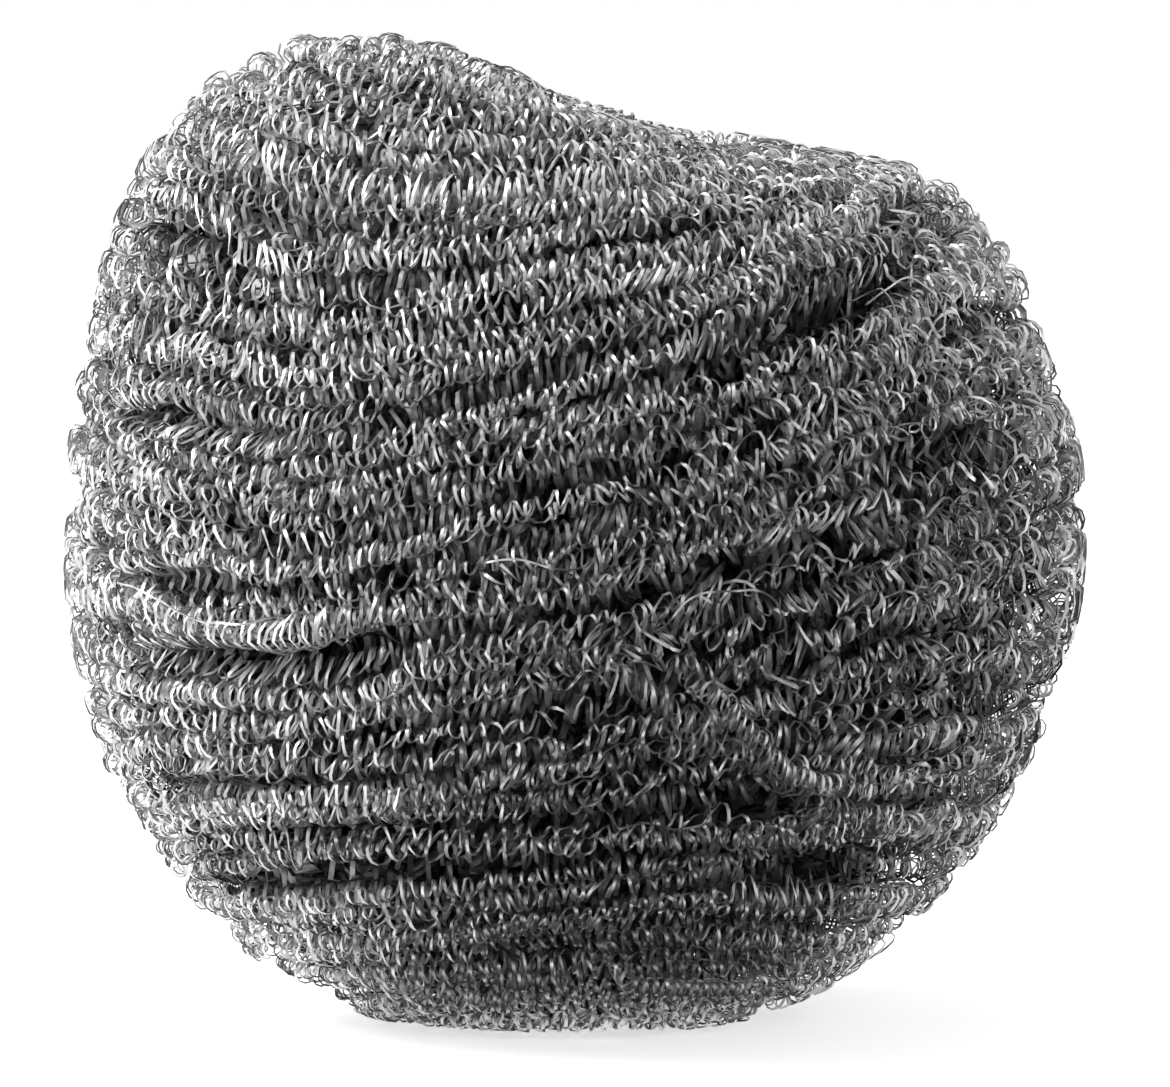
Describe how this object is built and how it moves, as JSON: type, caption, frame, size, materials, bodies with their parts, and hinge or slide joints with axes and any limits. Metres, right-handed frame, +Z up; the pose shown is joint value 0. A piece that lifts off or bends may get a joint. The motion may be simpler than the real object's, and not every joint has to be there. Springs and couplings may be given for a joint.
{
  "type": "stainless steel scourer",
  "caption": "Lopsided ball of springy coiled flat stainless wire, wound in rounded wraps, for scouring pots and pans.",
  "frame": {"origin": "under the middle of the ball, on the flat patch that it rests on", "axes": "+Z up, the front that the picture shows faces -Y, +X to the right along the ball's greatest width"},
  "size_m": [0.0892, 0.082, 0.0868],
  "materials": {
    "stainless_wire": "bright drawn flat wire"
  },
  "bodies": {
    "root": {"wound_coil": "stainless_wire"}
  },
  "joints": []
}
